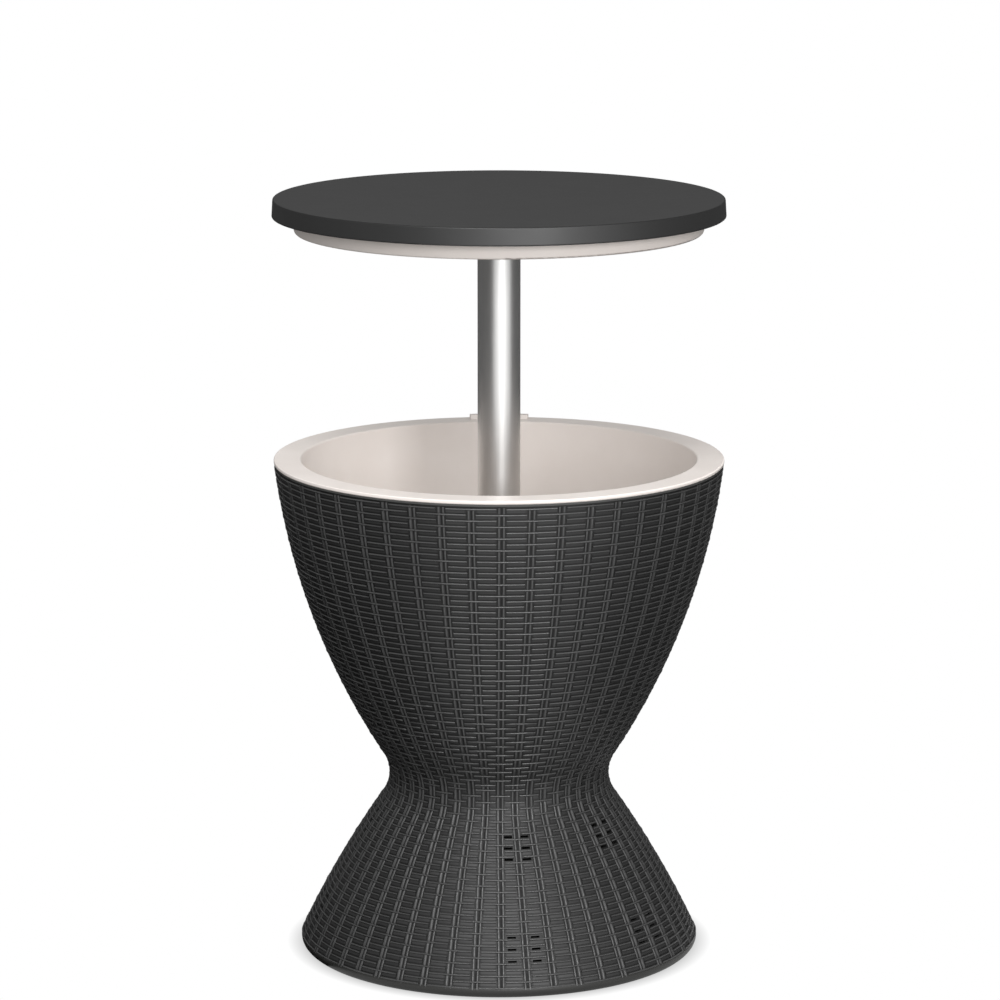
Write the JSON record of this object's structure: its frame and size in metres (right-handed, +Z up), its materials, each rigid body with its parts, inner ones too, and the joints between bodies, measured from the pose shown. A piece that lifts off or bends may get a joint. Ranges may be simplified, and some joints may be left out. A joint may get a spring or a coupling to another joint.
{
  "type": "ice bucket coffee table",
  "caption": "Hourglass patio table in rattan-look resin with a built-in ice bucket; the round tabletop slides down its pole onto the bucket's ring, and a quarter turn locks it.",
  "frame": {"origin": "centre of the base, on the ground it stands on", "axes": "+Z up along the pole; the front, as pictured, faces -Y; the drain is on the -X side"},
  "size_m": [0.4956, 0.4955, 0.838],
  "materials": {
    "black_resin": "moulded, low sheen",
    "white_resin": "moulded, satin",
    "aluminium": "drawn and brushed lengthwise",
    "steel": "zinc plated",
    "nylon": "moulded",
    "rubber": "moulded"
  },
  "bodies": {
    "base": {"base_shell": "black_resin", "body_shell": "black_resin", "base_screws": "steel", "ice_bucket": "white_resin", "post_flange": "steel", "post_gasket": "rubber", "post_screws": "steel", "post_pin": "steel", "inner_post": "aluminium", "cam_plug": "nylon", "cam_washer": "steel", "cam_screw": "steel", "drain_fitting": "white_resin", "drain_gasket": "rubber", "drain_nut": "white_resin"},
    "twist_lock": {"lock_ring": "nylon"},
    "tabletop": {"outer_tube": "aluminium", "guide_bush": "nylon", "pole_head": "nylon", "tube_screws": "steel", "head_screws": "steel", "tabletop_cover": "black_resin", "tabletop_underside": "white_resin", "tabletop_screws": "steel"},
    "stopper": {"drain_plug": "rubber"}
  },
  "joints": [
    {"name": "tabletop_twist", "type": "hinge", "parent": "base", "child": "twist_lock", "pos_m": [0, 0, 0.555], "axis": [0, 0, 1], "range_deg": [0, 90]},
    {"name": "tabletop_lift", "type": "slide", "parent": "twist_lock", "child": "tabletop", "axis": [0, 0, 1], "range_m": [-0.25, 0]},
    {"name": "drain_plug_pull", "type": "slide", "parent": "base", "child": "stopper", "axis": [0, 0, 1], "range_m": [0, 0.03]}
  ]
}
